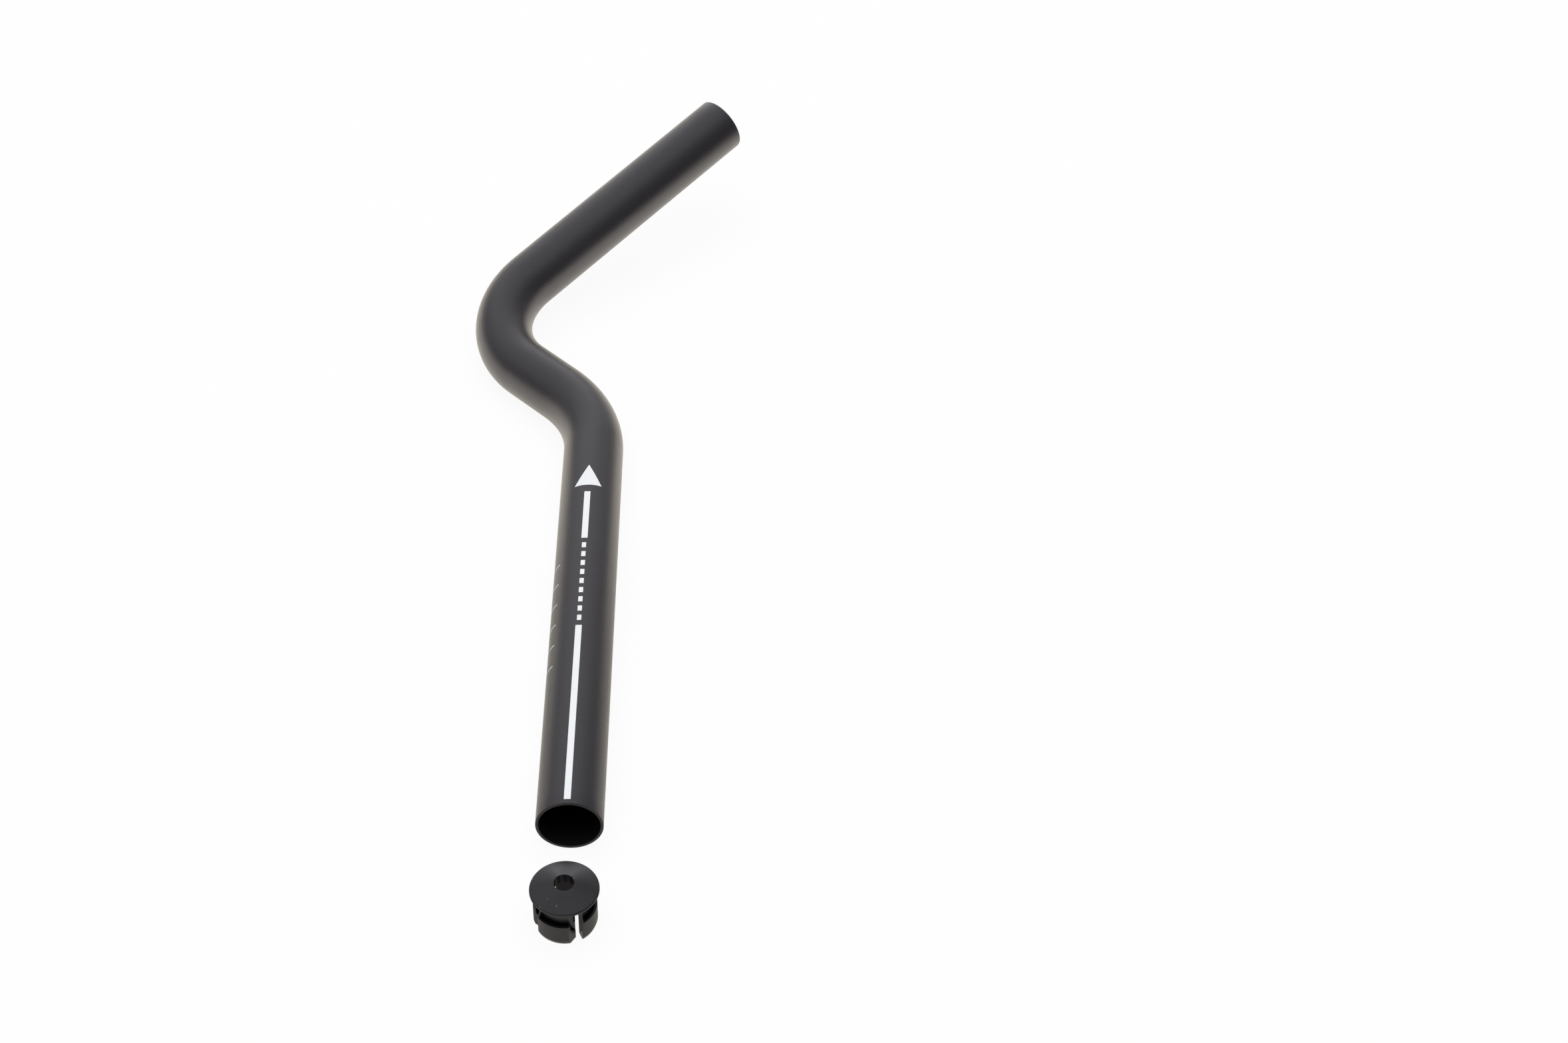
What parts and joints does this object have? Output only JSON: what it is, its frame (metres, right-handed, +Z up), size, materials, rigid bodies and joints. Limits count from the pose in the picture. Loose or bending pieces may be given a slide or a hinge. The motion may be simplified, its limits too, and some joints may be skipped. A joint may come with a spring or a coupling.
{
  "type": "aero handlebar extension",
  "caption": "Bent metal tube that clamps onto an aero handlebar and rises to a forward grip, with the slotted plug for its rear end taken off and standing behind it.",
  "frame": {"origin": "centre of the tube's rear end, on the axis of its clamp section", "axes": "+Y forward along the clamp section, +X to the right, +Z up from the surface that the tube lies on"},
  "size_m": [0.104, 0.4033, 0.0541],
  "materials": {
    "black_anodised": "bead-blasted, matte black anodised",
    "black_plastic": "satin moulded plastic",
    "white_print": "thin white screen print on the tube"
  },
  "bodies": {
    "root": {"tube": "black_anodised", "end_plug": "black_plastic"}
  },
  "joints": []
}
